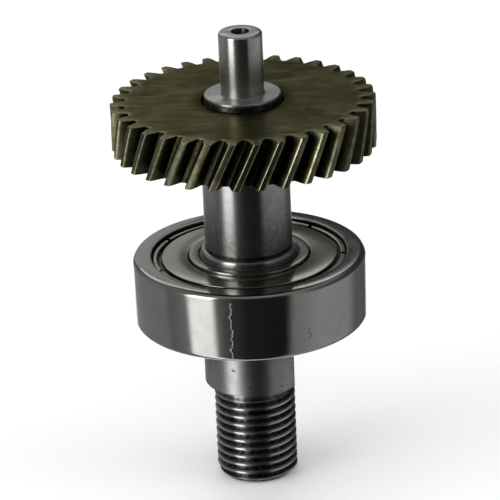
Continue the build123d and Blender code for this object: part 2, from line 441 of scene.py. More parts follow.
def spindle_dirt_and_shade(x, y, z):
    """Where old oil and dirt stay, with painted shade darkening the same places: centre holes, thread
    grooves, undercut, gear chamfer, journal's foot and beside the bearing.
    """
    r = math.hypot(x, y)
    in_centre_hole = r <= CENTRE_MOUTH and NOSE_END + HAIR < z < JOURNAL_TOP - HAIR
    if in_centre_hole:
        return 1.0
    if z < THREAD_START:
        return fade(THREAD_RADIUS - r, 0.06, 0.42) if z > NOSE_END + HAIR else 0.1
    above_seat = z - GEAR_SEAT_TOP
    from_undercut = abs(z - SHOULDER_TOP - 0.3)
    near_undercut = fade(from_undercut, 0.8, 0.3) * fade(r, SHAFT_RADIUS + 0.5, SHAFT_RADIUS - 0.2)
    at_foot = 0.3 * fade(above_seat, 1.6, 0.4) if above_seat > 0.1 else 0.0
    beside_bearing = 0.7 * fade(abs(z - FACE - SEAT_LEAD), 0.75, 0.2)
    in_gear_chamfer = fade(above_seat, -0.2, -CHAMFER_SHADE_AND_OIL_DEPTH) if z > GEAR_BOTTOM + 0.2 else 0.0
    return max(near_undercut, at_foot, beside_bearing, in_gear_chamfer)


# Helical gear ---------------------------------------------------------------------------------

def involute(base, r):
    """Involute function of the pressure angle at one radius."""
    angle = math.acos(min(1.0, base / r))
    return math.tan(angle) - angle


def tooth_profile():
    """(radius, angle) points of one tooth pitch, from the middle of one gap to the next."""
    transverse_pressure = math.atan(math.tan(PRESSURE) / math.cos(HELIX))
    base = PITCH_RADIUS * math.cos(transverse_pressure)
    root = PITCH_RADIUS - DEDENDUM * NORMAL_MODULE
    start = max(root + ROOT_ROUND, base)
    end = GEAR_RADIUS - TIP_ROUND
    half_tooth = (math.pi * TRANSVERSE_MODULE / 2 - BACKLASH) / 2 / PITCH_RADIUS
    half_at_base = half_tooth + involute(base, PITCH_RADIUS)
    half_gap = math.pi / TEETH
    foot = half_at_base - involute(base, start)
    rising = [
        (root, -half_gap),
        (root, -(half_gap + foot) / 2),
        (root + ROOT_RISE, -foot - 0.2 * (half_gap - foot)),
    ]
    for step in range(FLANK_STEPS):
        r = start + (end - start) * step / (FLANK_STEPS - 1)
        rising.append((r, involute(base, r) - half_at_base))
    top_half = half_at_base - involute(base, GEAR_RADIUS)
    rising += [(GEAR_RADIUS - depth, inwards - top_half) for depth, inwards in TIP_EDGE]
    rising.append((GEAR_RADIUS, -top_half * 0.4))
    falling = [(r, -angle) for r, angle in reversed(rising)]
    return rising + falling[:-1]


def tooth_rub_and_glint(r, depth):
    """How bright a point is rubbed and lit with a painted glint, from its place on the profile and its
    depth below an end face.
    """
    on_tip_edge = 0.0 < GEAR_RADIUS - r < RUB_GLINT_EDGE
    on_flank = r > RUB_GLINT_FLANK_RADIUS and depth > FACE_BEVEL
    if on_tip_edge:
        return 1.0
    if on_flank:
        return FLANK_RUB_AND_GLINT
    return FACE_EDGE_RUB_AND_GLINT if depth < FACE_BEVEL else 0.0


def make_gear():
    """Helical gear with rounded tooth edges, bevelled end faces and a chamfered bore."""
    twist_per_mm = math.tan(HELIX) / PITCH_RADIUS
    profile = tooth_profile()
    outline = []
    for tooth in range(TEETH):
        centre = TOOTH_PHASE + tooth * 2 * math.pi / TEETH
        outline += [(r, centre + angle) for r, angle in profile]
    columns = len(outline)
    width = GEAR_TOP - GEAR_BOTTOM
    between_rims = width - 2 * RIM
    body_levels = [RIM + between_rims * step / TWIST_STEPS for step in range(TWIST_STEPS + 1)]
    edge_levels = [0.0, FACE_BEVEL * 0.3, FACE_BEVEL, TIP_CHAMFER + HAIR]
    levels = edge_levels + body_levels + [width - depth for depth in reversed(edge_levels)]
    rings = []
    vertices = []
    rub_and_glint = []

    def outwards(index):
        """Unit normal of the outline at one point, in the transverse plane."""
        r0, a0 = outline[index - 1]
        r1, a1 = outline[(index + 1) % columns]
        along_x = r1 * math.cos(a1) - r0 * math.cos(a0)
        along_y = r1 * math.sin(a1) - r0 * math.sin(a0)
        return Vector((along_y, -along_x)).normalized()

    normals = [outwards(index) for index in range(columns)]
    for z in levels:
        depth = min(z, width - z)
        lack = 1 - min(depth / FACE_BEVEL, 1.0)
        bevel = FACE_BEVEL * (1 - math.sqrt(max(0.0, 1 - lack ** 2)))
        roof = GEAR_RADIUS - max(0.0, TIP_CHAMFER - depth)
        turn = Matrix.Rotation(z * twist_per_mm, 2)
        ring = []
        for (r, angle), normal in zip(outline, normals):
            spot = Vector((r * math.cos(angle), r * math.sin(angle))) - normal * bevel
            if spot.length > roof:
                spot = spot.normalized() * roof
            spot = turn @ spot
            ring.append(len(vertices))
            vertices.append((spot.x, spot.y, GEAR_BOTTOM + z))
            rub_and_glint.append(tooth_rub_and_glint(r, depth))
        rings.append(ring)

    def face_rings(z, turn, bore_depth):
        """Rings of one end face, from the root of the teeth to the bore's chamfer."""
        chamfer_radius = GEAR_SEAT_RADIUS + GEAR_BORE_CHAMFER + BORE_EDGE_RADIUS
        corners = [(r, z) for r in (*FACE_RADII, chamfer_radius)] + [(GEAR_SEAT_RADIUS, z + bore_depth)]
        made = []
        for r, height in corners:
            made.append([len(vertices) + column for column in range(columns)])
            for _, angle in outline:
                vertices.append((r * math.cos(angle + turn), r * math.sin(angle + turn), height))
                rub_and_glint.append(0.0)
        return made

    top = face_rings(GEAR_TOP, width * twist_per_mm, -GEAR_BORE_CHAMFER)
    bottom = face_rings(GEAR_BOTTOM, 0.0, GEAR_BORE_CHAMFER)
    piece = new_piece("gear_helical", vertices, skin(bottom[::-1] + rings + top, True))
    layer = piece.data.attributes.new("rub_and_glint", "FLOAT", "POINT")
    layer.data.foreach_set("value", rub_and_glint)
    smooth(piece.data, 40.0)
    paint(piece, "dirt_and_shade", gear_dirt_and_shade)
    return piece


def gear_dirt_and_shade(x, y, z):
    """Dark oil and painted shade in the bore's chamfer and at the roots of the teeth."""
    r = math.hypot(x, y)
    chamfer_radius = GEAR_SEAT_RADIUS + GEAR_BORE_CHAMFER
    in_bore = fade(r, chamfer_radius + 0.5, chamfer_radius)
    between_faces = GEAR_BOTTOM + 0.1 < z < GEAR_TOP - 0.1
    in_gap = 0.9 * fade(r, 22.2, 20.5) if r > FACE_RADII[0] + 0.5 and between_faces else 0.0
    return max(in_bore, in_gap)


# Bearing --------------------------------------------------------------------------------------

def with_mirror(upper):
    """Corners above the bearing's middle plane, followed by the same corners below it."""
    return upper + [(r, -z, corner) for r, z, corner in reversed(upper)]


def race_arc(groove_centre, shoulder, inwards):
    """Points of a raceway's arc from its upper shoulder to its lower one."""
    half = math.acos(abs(groove_centre - shoulder) / RACE_CURVE)
    points = []
    for step in range(RACE_STEPS + 1):
        angle = half - 2 * half * step / RACE_STEPS
        r = groove_centre + inwards * RACE_CURVE * math.cos(angle)
        points.append((r, RACE_CURVE * math.sin(angle)))
    return points


def make_inner_ring():
    """Inner ring: ground bore and raceway, stepped under each shield."""
    turned = rounded(with_mirror([
        (BORE_RADIUS, FACE, BORE_CORNER),
        (INNER_FACE_RADIUS, FACE, FACE_CORNER),
        (INNER_FACE_RADIUS, RECESS_FLOOR, RECESS_CORNER),
        (INNER_SHOULDER_RADIUS, RECESS_FLOOR, RECESS_CORNER),
    ]))
    middle = len(turned) // 2
    race = race_arc(RACE_CENTRE_INNER, INNER_SHOULDER_RADIUS, -1)
    piece = lathe("bearing_inner_ring", turned[:middle] + race + turned[middle:])
    paint(piece, "dirt_and_shade", ring_dirt_and_shade)
    return piece


def make_outer_ring():
    """Outer ring: rounded corners, polished outside, and a groove for each shield's lip."""
    turned = rounded(with_mirror([
        (OUTER_SHOULDER_RADIUS, RECESS_FLOOR, GROOVE_CORNER),
        (SHIELD_RADIUS, LIP_SEAT_BOTTOM, GROOVE_CORNER),
        (SHIELD_RADIUS, LIP_SEAT_TOP, GROOVE_CORNER),
        (OUTER_RECESS_RADIUS, LIP_ENTRY, GROOVE_CORNER),
        (OUTER_RECESS_RADIUS, FACE, FACE_CORNER),
        (RING_RADIUS, FACE, OUTSIDE_CORNER),
    ]), steps=OUTSIDE_CORNER_STEPS)
    race = race_arc(RACE_CENTRE_OUTER, OUTER_SHOULDER_RADIUS, 1)
    piece = lathe("bearing_outer_ring", turned + race[::-1])
    paint(piece, "dirt_and_shade", ring_dirt_and_shade)
    return piece


def ring_dirt_and_shade(x, y, z):
    """Dirt and painted shade in the rings' steps, behind the shields and against the spindle."""
    r = math.hypot(x, y)
    at_bore = 0.9 * fade(r, BORE_RADIUS + 0.6, BORE_RADIUS + 0.3)
    behind_shield = fade(abs(z), FACE - 0.05, FACE - 0.3) if r < SHIELD_RADIUS + 0.1 else 0.0
    return max(at_bore, behind_shield)


def shield_outline():
    """Cross-section of the upper shield, from its bore out to its lip and back underneath."""
    step = SHIELD_FLAT_RADIUS
    curl = SHIELD_RADIUS - 0.4
    under_curl = LIP_TOP - 0.6
    return rounded([
        (SHIELD_BORE_RADIUS, SHIELD_TOP, BEND),
        (step + 0.1, SHIELD_TOP, STEP_BEND),
        (step + 0.18, CHANNEL, BEND),
        (LIP_INNER_RADIUS - 0.1, CHANNEL, BEND),
        (LIP_INNER_RADIUS, LIP_TOP, LIP_ROUND),
        (curl - 0.1, LIP_TOP, LIP_ROUND),
        (curl, LIP_TOP - 0.35, SHEET_EDGE),
        (SHIELD_RADIUS, LIP_TOP - 0.4, SHEET_EDGE),
        (SHIELD_RADIUS, under_curl + 0.05),
        (LIP_INNER_RADIUS + 0.35, under_curl, BEND),
        (LIP_INNER_RADIUS + 0.25, CHANNEL - SHEET, BEND),
        (step - 0.1, CHANNEL - SHEET, BEND),
        (step - 0.2, SHIELD_TOP - SHEET, BEND),
        (SHIELD_BORE_RADIUS, SHIELD_TOP - SHEET, SHEET_EDGE),
    ])


def slit_columns():
    """Columns of the shield's mesh that the slits take out."""
    cut = set()
    for slit in range(SLITS):
        centre = FIRST_SLIT + slit * 2 * math.pi / SLITS
        for column in range(SHIELD_COLUMNS):
            angle = 2 * math.pi * (column + 0.5) / SHIELD_COLUMNS
            off = abs((angle - centre + math.pi) % (2 * math.pi) - math.pi)
            if off * LIP_INNER_RADIUS < SLIT_HALF_WIDTH:
                cut.add(column)
    return cut


def make_shield(name, side):
    """Pressed shield with its curled lip divided by narrow slits."""
    outline = shield_outline()
    vertices, rings = ring_points(outline, SHIELD_COLUMNS)
    if side < 0:
        vertices = [(x, -y, -z) for x, y, z in vertices]
    first_lip = next(i for i, (r, z) in enumerate(outline) if r > LIP_INNER_RADIUS - 0.12)
    last_lip = max(i for i, (r, z) in enumerate(outline) if r > LIP_INNER_RADIUS + 0.3)
    cut = slit_columns()
    faces = []
    for index, upper in enumerate(rings):
        lower = rings[(index + 1) % len(rings)]
        in_lip = first_lip <= index < last_lip
        for column in range(SHIELD_COLUMNS):
            after = (column + 1) % SHIELD_COLUMNS
            if not (in_lip and column in cut):
                faces.append([upper[column], lower[column], lower[after], upper[after]])
    # Wall at the inner end of each slit and at both of its sides.
    for column in sorted(cut):
        after = (column + 1) % SHIELD_COLUMNS
        faces.append([rings[first_lip][column], rings[last_lip][column],
                      rings[last_lip][after], rings[first_lip][after]])
        if (column - 1) % SHIELD_COLUMNS not in cut:
            faces.append([ring[column] for ring in rings[first_lip:last_lip + 1]])
        if after not in cut:
            faces.append([ring[after] for ring in rings[first_lip:last_lip + 1]])
    piece = add_piece(name, vertices, faces, sharp=50.0)
    paint(piece, "dirt_and_shade", shield_dirt_and_shade)
    return piece


def shield_dirt_and_shade(x, y, z):
    """Dirt and painted shade in the shield's channel, at its slits and round its outer edge."""
    r = math.hypot(x, y)
    in_channel = fade(abs(z), LIP_TOP - 0.03, LIP_TOP - 0.25)
    outer_edge = fade(r, SHIELD_RADIUS - 0.55, SHIELD_RADIUS - 0.4)
    return max(in_channel, outer_edge)


# Materials ------------------------------------------------------------------------------------

# Dark colours for old oil and dirt that also serve as painted shade in holes, grooves, tooth gaps and
# joints between parts.
OIL_AND_SHADE_ON_SPINDLE = (0.035, 0.032, 0.024)
DIRT_AND_SHADE_ON_RING = (0.035, 0.033, 0.026)
DIRT_AND_SHADE_ON_SHIELD = (0.030, 0.029, 0.020)
OIL_AND_SHADE_ON_GEAR = (0.018, 0.016, 0.010)
PIT = (0.06, 0.058, 0.05)
# Painted shade beside the outer ring's long scratch and in its nick; the next colour is a painted highlight
# along the scratch.
SCRATCH_SHADE = (0.06, 0.06, 0.055)
SCRATCH_HIGHLIGHT = (0.76, 0.75, 0.73)
GROUND_SCRATCH = (0.78, 0.77, 0.74)
POLISHED_SCRATCH = (0.82, 0.81, 0.78)
SHEET_SCRATCH = (0.75, 0.74, 0.70)
# Rubbed tooth edges, also a painted glint.
EDGE_RUB_AND_GLINT = (0.74, 0.73, 0.46)


class Nodes:
    """Short calls for building one node material."""

    def __init__(self, name):
        self.material = bpy.data.materials.new(name)
        self.material.use_nodes = True
        self.tree = self.material.node_tree
        self.tree.nodes.clear()
        self.shader = self.tree.nodes.new("ShaderNodeBsdfPrincipled")
        out = self.tree.nodes.new("ShaderNodeOutputMaterial")
        self.link(self.shader.outputs["BSDF"], out.inputs["Surface"])
        coordinates = self.tree.nodes.new("ShaderNodeTexCoord")
        self.position = coordinates.outputs["Object"]

    def link(self, source, target):
        """Joins an output to an input."""
        self.tree.links.new(source, target)

    def math(self, operation, first, second=None, clamp=False):
        """Result of one sum. Each value is a number or an output."""
        node = self.tree.nodes.new("ShaderNodeMath")
        node.operation = operation
        node.use_clamp = clamp
        for socket, value in zip(node.inputs, (first, second)):
            if value is None:
                continue
            if isinstance(value, (int, float)):
                socket.default_value = value
            else:
                self.link(value, socket)
        return node.outputs[0]

    def turned_vector(self, along, around=0.0):
        """Coordinates that stay the same round the axis: fine lines as a lathe or grinder leaves."""
        split = self.tree.nodes.new("ShaderNodeSeparateXYZ")
        self.link(self.position, split.inputs[0])
        x, y, z = split.outputs
        squared = self.math("ADD", self.math("MULTIPLY", x, x), self.math("MULTIPLY", y, y))
        r = self.math("SQRT", squared)
        angle = self.math("ARCTAN2", y, x)
        join = self.tree.nodes.new("ShaderNodeCombineXYZ")
        self.link(self.math("MULTIPLY", r, along), join.inputs[0])
        self.link(self.math("MULTIPLY", self.math("SINE", angle), around), join.inputs[1])
        self.link(self.math("MULTIPLY", z, along), join.inputs[2])
        return join.outputs[0]

    def stretched(self, scale, rotation):
        """Object coordinates turned and stretched, for marks that run one way."""
        node = self.tree.nodes.new("ShaderNodeMapping")
        node.inputs["Scale"].default_value = scale
        node.inputs["Rotation"].default_value = [math.radians(value) for value in rotation]
        self.link(self.position, node.inputs["Vector"])
        return node.outputs[0]

    def noise(self, scale, vector=None, detail=4.0, roughness=0.55, distortion=0.0):
        """Fractal noise, from 0 to 1."""
        node = self.tree.nodes.new("ShaderNodeTexNoise")
        node.inputs["Scale"].default_value = scale
        node.inputs["Detail"].default_value = detail
        node.inputs["Roughness"].default_value = roughness
        node.inputs["Distortion"].default_value = distortion
        self.link(vector or self.position, node.inputs["Vector"])
        return node.outputs["Fac"]

    def ramp(self, value, low, high, low_out=0.0, high_out=1.0):
        """Value mapped from one range to another, clamped."""
        node = self.tree.nodes.new("ShaderNodeMapRange")
        node.clamp = True
        self.link(value, node.inputs["Value"])
        node.inputs["From Min"].default_value = low
        node.inputs["From Max"].default_value = high
        node.inputs["To Min"].default_value = low_out
        node.inputs["To Max"].default_value = high_out
        return node.outputs["Result"]

    def mix(self, factor, first, second):
        """Blend of two colours."""
        node = self.tree.nodes.new("ShaderNodeMix")
        node.data_type = "RGBA"
        self.link(factor, node.inputs["Factor"])
        for socket, value in ((node.inputs[6], first), (node.inputs[7], second)):
            if isinstance(value, tuple):
                socket.default_value = (*value, 1.0)
            else:
                self.link(value, socket)
        return node.outputs[2]

    def bump(self, height, strength, distance, normal=None):
        """Normal from a height, on top of another bump where one is given."""
        node = self.tree.nodes.new("ShaderNodeBump")
        node.inputs["Strength"].default_value = strength
        node.inputs["Distance"].default_value = distance
        self.link(height, node.inputs["Height"])
        if normal is not None:
            self.link(normal, node.inputs["Normal"])
        return node.outputs["Normal"]

    def attribute(self, name):
        """Value painted on the vertices."""
        node = self.tree.nodes.new("ShaderNodeAttribute")
        node.attribute_name = name
        return node.outputs["Fac"]


def scratches(nodes, directions, threshold):
    """Thin straight marks in a few directions, 1 on a mark."""
    total = None
    for scale, rotation in directions:
        line = nodes.noise(1.0, nodes.stretched(scale, rotation), detail=2.0, roughness=0.4)
        mark = nodes.ramp(line, threshold, threshold + 0.03)
        total = mark if total is None else nodes.math("MAXIMUM", total, mark)
    return total


def dirt_and_shade_mask(nodes):
    """The piece's layer of dirt and painted shade, broken up so that it has no hard edge."""
    patch = nodes.noise(1400.0, detail=4.0)
    dirt_and_shade = nodes.attribute("dirt_and_shade")
    return nodes.math("MULTIPLY", dirt_and_shade, nodes.ramp(patch, 0.25, 0.6, 0.6, 1.0), clamp=True)


def ground_steel(name, base, dark, roughness, line_depth):
    """Ground or turned steel: lines round the axis, faint stains and handling scratches."""
    nodes = Nodes(name)
    lines = nodes.noise(1.0, nodes.turned_vector(9000.0, 3.0), detail=5.0, roughness=0.65)
    broad = nodes.noise(1.0, nodes.turned_vector(900.0, 6.0), detail=3.0)
    stains = nodes.noise(260.0, detail=5.0, roughness=0.62, distortion=0.6)
    marks = scratches(nodes, [
        ((9000, 130, 130), (20, 35, 15)),
        ((150, 8000, 150), (55, -25, 40)),
        ((120, 120, 7000), (-30, 60, 10)),
    ], 0.735)
    stain_mask = nodes.ramp(stains, 0.42, 0.75, 0.0, 0.35)
    colour = nodes.mix(stain_mask, base, dark)
    colour = nodes.mix(nodes.ramp(lines, 0.3, 0.75, 0.0, 0.22), colour, dark)
    colour = nodes.mix(nodes.math("MULTIPLY", marks, 0.45), colour, GROUND_SCRATCH)
    handled = nodes.attribute("handled")
    pits = nodes.ramp(nodes.noise(1500.0, detail=2.0, roughness=0.4), 0.70, 0.75)
    pits = nodes.math("MULTIPLY", pits, handled)
    dulled = nodes.math("MULTIPLY", handled, nodes.ramp(stains, 0.3, 0.7, 0.1, 0.6))
    colour = nodes.mix(dulled, colour, dark)
    colour = nodes.mix(pits, colour, PIT)
    dirt_and_shade = dirt_and_shade_mask(nodes)
    colour = nodes.mix(dirt_and_shade, colour, OIL_AND_SHADE_ON_SPINDLE)
    nodes.link(colour, nodes.shader.inputs["Base Color"])
    rough = nodes.math("ADD", nodes.ramp(lines, 0.25, 0.8, roughness - 0.04, roughness + 0.06),
                       nodes.ramp(stains, 0.4, 0.8, 0.0, 0.08))
    rough = nodes.math("ADD", rough, nodes.math("MULTIPLY", dirt_and_shade, 0.25))
    rough = nodes.math("ADD", rough, nodes.math("MULTIPLY", handled, 0.25))
    rough = nodes.math("ADD", rough, nodes.math("MULTIPLY", marks, 0.12))
    nodes.link(rough, nodes.shader.inputs["Roughness"])
    nodes.shader.inputs["Metallic"].default_value = 1.0
    nodes.shader.inputs["Anisotropic"].default_value = 0.88
    nodes.shader.inputs["Anisotropic Rotation"].default_value = 0.25
    around = nodes.tree.nodes.new("ShaderNodeTangent")
    around.direction_type = "RADIAL"
    around.axis = "Z"
    nodes.link(around.outputs["Tangent"], nodes.shader.inputs["Tangent"])
    first = nodes.bump(lines, 0.35, line_depth)
    second = nodes.bump(broad, 0.25, line_depth, first)
    third = nodes.bump(marks, 0.5, line_depth * 1.5, second)
    nodes.link(nodes.bump(pits, -0.6, 8e-6, third), nodes.shader.inputs["Normal"])
    return nodes.material


def long_scratch(nodes, angle, half_width, bottom, top, waviness):
    """One wavy mark down the outside of a ring, 1 on the mark; the angle is from -Y towards +X."""
    split = nodes.tree.nodes.new("ShaderNodeSeparateXYZ")
    nodes.link(nodes.position, split.inputs[0])
    x, y, z = split.outputs
    around = nodes.math("ARCTAN2", x, nodes.math("MULTIPLY", y, -1.0))
    bend = nodes.noise(1.0, nodes.stretched((0, 0, 650), (0, 0, 0)), detail=4.0)
    width = nodes.noise(1.0, nodes.stretched((0, 0, 1500), (0, 0, 0)), detail=2.0)
    mean_angle = math.radians(angle) - waviness / 2
    centre = nodes.math("ADD", nodes.math("MULTIPLY", bend, waviness), mean_angle)
    away = nodes.math("ABSOLUTE", nodes.math("SUBTRACT", around, centre))
    limit = nodes.ramp(width, 0.35, 0.65, half_width * 0.3, half_width)
    on_line = nodes.math("LESS_THAN", away, limit)
    above = nodes.math("GREATER_THAN", z, bottom * MM)
    inside = nodes.math("MULTIPLY", above, nodes.math("LESS_THAN", z, top * MM))
    return nodes.math("MULTIPLY", on_line, inside)


def polished_ring_steel(name, damaged=False):
    """Superfinished bearing steel: near mirror, faint circumferential lines, a few fine scratches."""
    nodes = Nodes(name)
    lines = nodes.noise(1.0, nodes.turned_vector(7000.0, 2.0), detail=4.0)
    film = nodes.noise(180.0, detail=4.0, roughness=0.6, distortion=0.8)
    marks = scratches(nodes, [
        ((160, 160, 5200), (8, 12, 0)),
        ((6000, 110, 110), (15, 55, 25)),
    ], 0.745)
    film_mask = nodes.ramp(film, 0.4, 0.75, 0.0, 0.5)
    colour = nodes.mix(film_mask, (0.53, 0.53, 0.515), (0.41, 0.41, 0.38))
    colour = nodes.mix(nodes.math("MULTIPLY", marks, 0.5), colour, POLISHED_SCRATCH)
    rough = nodes.math("ADD", nodes.ramp(lines, 0.3, 0.75, 0.08, 0.14),
                       nodes.ramp(film, 0.4, 0.8, 0.0, 0.07))
    normal = nodes.bump(marks, 0.4, 4e-6, nodes.bump(lines, 0.2, 2e-6))
    if damaged:
        # A long scratch painted as a bright highlight with a strip of painted shade beside it, and a nick
        # painted as shade.
        bright = long_scratch(nodes, -10.0, 0.009, -5.4, 4.8, 0.11)
        shade = long_scratch(nodes, -9.2, 0.007, -5.2, 3.0, 0.11)
        nick = long_scratch(nodes, 28.5, 0.008, -3.0, -1.2, 0.22)
        shaded = nodes.math("MULTIPLY", nodes.math("MAXIMUM", shade, nick), 0.8)
        colour = nodes.mix(shaded, colour, SCRATCH_SHADE)
        colour = nodes.mix(bright, colour, SCRATCH_HIGHLIGHT)
        rough = nodes.math("ADD", rough, nodes.math("MULTIPLY", bright, 0.35))
        normal = nodes.bump(bright, -0.8, 3e-5, normal)
    dirt_and_shade = dirt_and_shade_mask(nodes)
    colour = nodes.mix(dirt_and_shade, colour, DIRT_AND_SHADE_ON_RING)
    nodes.link(colour, nodes.shader.inputs["Base Color"])
    rough = nodes.math("ADD", rough, nodes.math("MULTIPLY", dirt_and_shade, 0.3))
    nodes.link(rough, nodes.shader.inputs["Roughness"])
    nodes.shader.inputs["Metallic"].default_value = 1.0
    nodes.link(normal, nodes.shader.inputs["Normal"])
    return nodes.material


def sheet_steel(name, base, dark):
    """Pressed sheet: satin rolled grain one way, slight oil tint and rub marks."""
    nodes = Nodes(name)
    grain = nodes.noise(1.0, nodes.stretched((900, 9000, 900), (0, 0, 35)), detail=4.0)
    fine = nodes.noise(5200.0, detail=3.0)
    tint = nodes.noise(170.0, detail=4.0, roughness=0.6, distortion=0.5)
    marks = scratches(nodes, [
        ((7000, 140, 140), (0, 0, 62)),
        ((140, 7000, 140), (0, 0, 12)),
    ], 0.745)
    colour = nodes.mix(nodes.ramp(tint, 0.35, 0.75), base, dark)
    colour = nodes.mix(nodes.math("MULTIPLY", marks, 0.35), colour, SHEET_SCRATCH)
    colour = nodes.mix(dirt_and_shade_mask(nodes), colour, DIRT_AND_SHADE_ON_SHIELD)
    nodes.link(colour, nodes.shader.inputs["Base Color"])
    rough = nodes.math("ADD", nodes.ramp(grain, 0.3, 0.7, 0.12, 0.17),
                       nodes.ramp(tint, 0.4, 0.8, 0.0, 0.04))
    nodes.link(rough, nodes.shader.inputs["Roughness"])
    nodes.shader.inputs["Metallic"].default_value = 1.0
    first = nodes.bump(grain, 0.3, 3e-6)
    nodes.link(nodes.bump(fine, 0.16, 3e-6, first), nodes.shader.inputs["Normal"])
    return nodes.material


def oiled_gear_steel(name):
    """Hardened gear steel under a film of old oil, rubbed bright along the tooth edges, with painted glints
    on those edges and painted highlights on the flanks.
    """
    nodes = Nodes(name)
    film = nodes.noise(150.0, detail=5.0, roughness=0.6, distortion=1.2)
    smear = nodes.noise(1.0, nodes.stretched((90, 420, 200), (0, 0, 25)), detail=4.0, distortion=0.8)
    streak = nodes.noise(1.0, nodes.stretched((60, 330, 90), (0, 0, -22)), detail=5.0, distortion=1.4)
    specks = nodes.noise(3200.0, detail=3.0)
    lines = nodes.noise(1.0, nodes.turned_vector(5200.0, 4.0), detail=4.0)
    rub_glint_layer = nodes.attribute("rub_and_glint")
    patch = nodes.noise(900.0, detail=3.0)
    # Rubbed edges and flanks, lightened also as painted glints and painted highlights.
    glint_and_rub_mask = nodes.math("MULTIPLY", rub_glint_layer, nodes.ramp(patch, 0.34, 0.62, 0.35, 1.0), clamp=True)
    thin_film = (0.180, 0.172, 0.104)
    thick_film = (0.108, 0.108, 0.060)
    dark_smear = (0.052, 0.052, 0.029)
    wiped_streak = (0.250, 0.240, 0.156)
    speck_colour = (0.13, 0.127, 0.07)
    colour = nodes.mix(nodes.ramp(film, 0.4, 0.62), thin_film, thick_film)
    colour = nodes.mix(nodes.ramp(smear, 0.5, 0.7, 0.0, 0.8), colour, dark_smear)
    colour = nodes.mix(nodes.ramp(streak, 0.55, 0.70, 0.0, 0.8), colour, wiped_streak)
    colour = nodes.mix(nodes.ramp(specks, 0.62, 0.78, 0.0, 0.4), colour, speck_colour)
    colour = nodes.mix(glint_and_rub_mask, colour, EDGE_RUB_AND_GLINT)
    colour = nodes.mix(dirt_and_shade_mask(nodes), colour, OIL_AND_SHADE_ON_GEAR)
    nodes.link(colour, nodes.shader.inputs["Base Color"])
    rough = nodes.math("ADD", nodes.ramp(film, 0.3, 0.75, 0.32, 0.42),
                       nodes.ramp(smear, 0.5, 0.8, 0.0, -0.10))
    nodes.link(rough, nodes.shader.inputs["Roughness"])
    nodes.shader.inputs["Metallic"].default_value = 1.0
    nodes.shader.inputs["Specular Tint"].default_value = (0.48, 0.48, 0.37, 1.0)
    nodes.shader.inputs["Coat Weight"].default_value = 0.1
    nodes.shader.inputs["Coat Roughness"].default_value = 0.2
    first = nodes.bump(lines, 0.25, 4e-6)
    second = nodes.bump(film, 0.2, 2e-5, first)
    nodes.link(nodes.bump(specks, 0.3, 5e-6, second), nodes.shader.inputs["Normal"])
    return nodes.material


def dress(piece, material):
    """Gives a piece, or a CAD node, its only material."""
    if piece.material_slots:
        for slot in piece.material_slots:
            slot.material = material
    else:
        piece.data.materials.append(material)


# The object -----------------------------------------------------------------------------------

SPINDLE_STEEL = ground_steel("spindle_steel", (0.68, 0.68, 0.67), (0.45, 0.45, 0.43), 0.22, 3e-6)
GEAR_STEEL = oiled_gear_steel("gear_steel")
RING_STEEL = polished_ring_steel("ring_steel", damaged=True)
INNER_STEEL = polished_ring_steel("inner_ring_steel")
SHIELD_STEEL = sheet_steel("shield_steel", (0.55, 0.57, 0.49), (0.45, 0.47, 0.39))
CAGE_STEEL = sheet_steel("cage_steel", (0.46, 0.45, 0.42), (0.36, 0.35, 0.32))
RIVET_STEEL = sheet_steel("rivet_steel", (0.50, 0.48, 0.44), (0.38, 0.36, 0.33))
BALL_STEEL = polished_ring_steel("ball_steel")

visual = [
    (make_spindle(), "rotor", "spindle", "ground_steel", SPINDLE_STEEL),
    (make_gear(), "rotor", "helical_gear", "oiled_gear_steel", GEAR_STEEL),
    (make_inner_ring(), "rotor", "inner_ring", "ring_steel", INNER_STEEL),
    (make_outer_ring(), "housing_side", "outer_ring", "ring_steel", RING_STEEL),
    (make_shield("shield_upper", 1), "housing_side", "upper_shield", "shield_steel", SHIELD_STEEL),
    (make_shield("shield_lower", -1), "housing_side", "lower_shield", "shield_steel", SHIELD_STEEL),
]
for piece, body, node, slot_name, material in visual:
    dress(piece, material)
    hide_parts(node)
    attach(piece, body)

for node in ("cage_upper", "cage_lower"):
    dress(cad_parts[node], CAGE_STEEL)
dress(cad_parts["cage_rivets"], RIVET_STEEL)
for number in range(1, 9):
    dress(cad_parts[f"ball_{number}"], BALL_STEEL)


# Camera ---------------------------------------------------------------------------------------

def make_camera():
    """Long lens a little above the object, rolled so that the spindle leans slightly to the left."""
    elevation = math.radians(22.23)
    roll = math.radians(2.383)
    distance = 0.619
    target = Vector((0.17 * MM, 0, (FACE + 0.2) * MM))
    back = Vector((0, -math.cos(elevation), math.sin(elevation)))
    right = Vector((1, 0, 0))
    up = back.cross(right)
    turned_right = right * math.cos(roll) - up * math.sin(roll)
    turned_up = right * math.sin(roll) + up * math.cos(roll)
    camera_data = bpy.data.cameras.new("camera")
    camera_data.lens = 260.0
    camera_data.sensor_width = 36.0
    camera_data.clip_start = 0.01
    camera_data.clip_end = 20.0
    camera = bpy.data.objects.new("camera", camera_data)
    turn = Matrix((turned_right, turned_up, back)).transposed().to_4x4()
    camera.matrix_world = Matrix.Translation(target + back * distance) @ turn
    bpy.context.scene.collection.objects.link(camera)
    bpy.context.scene.camera = camera


# Floor and light ------------------------------------------------------------------------------

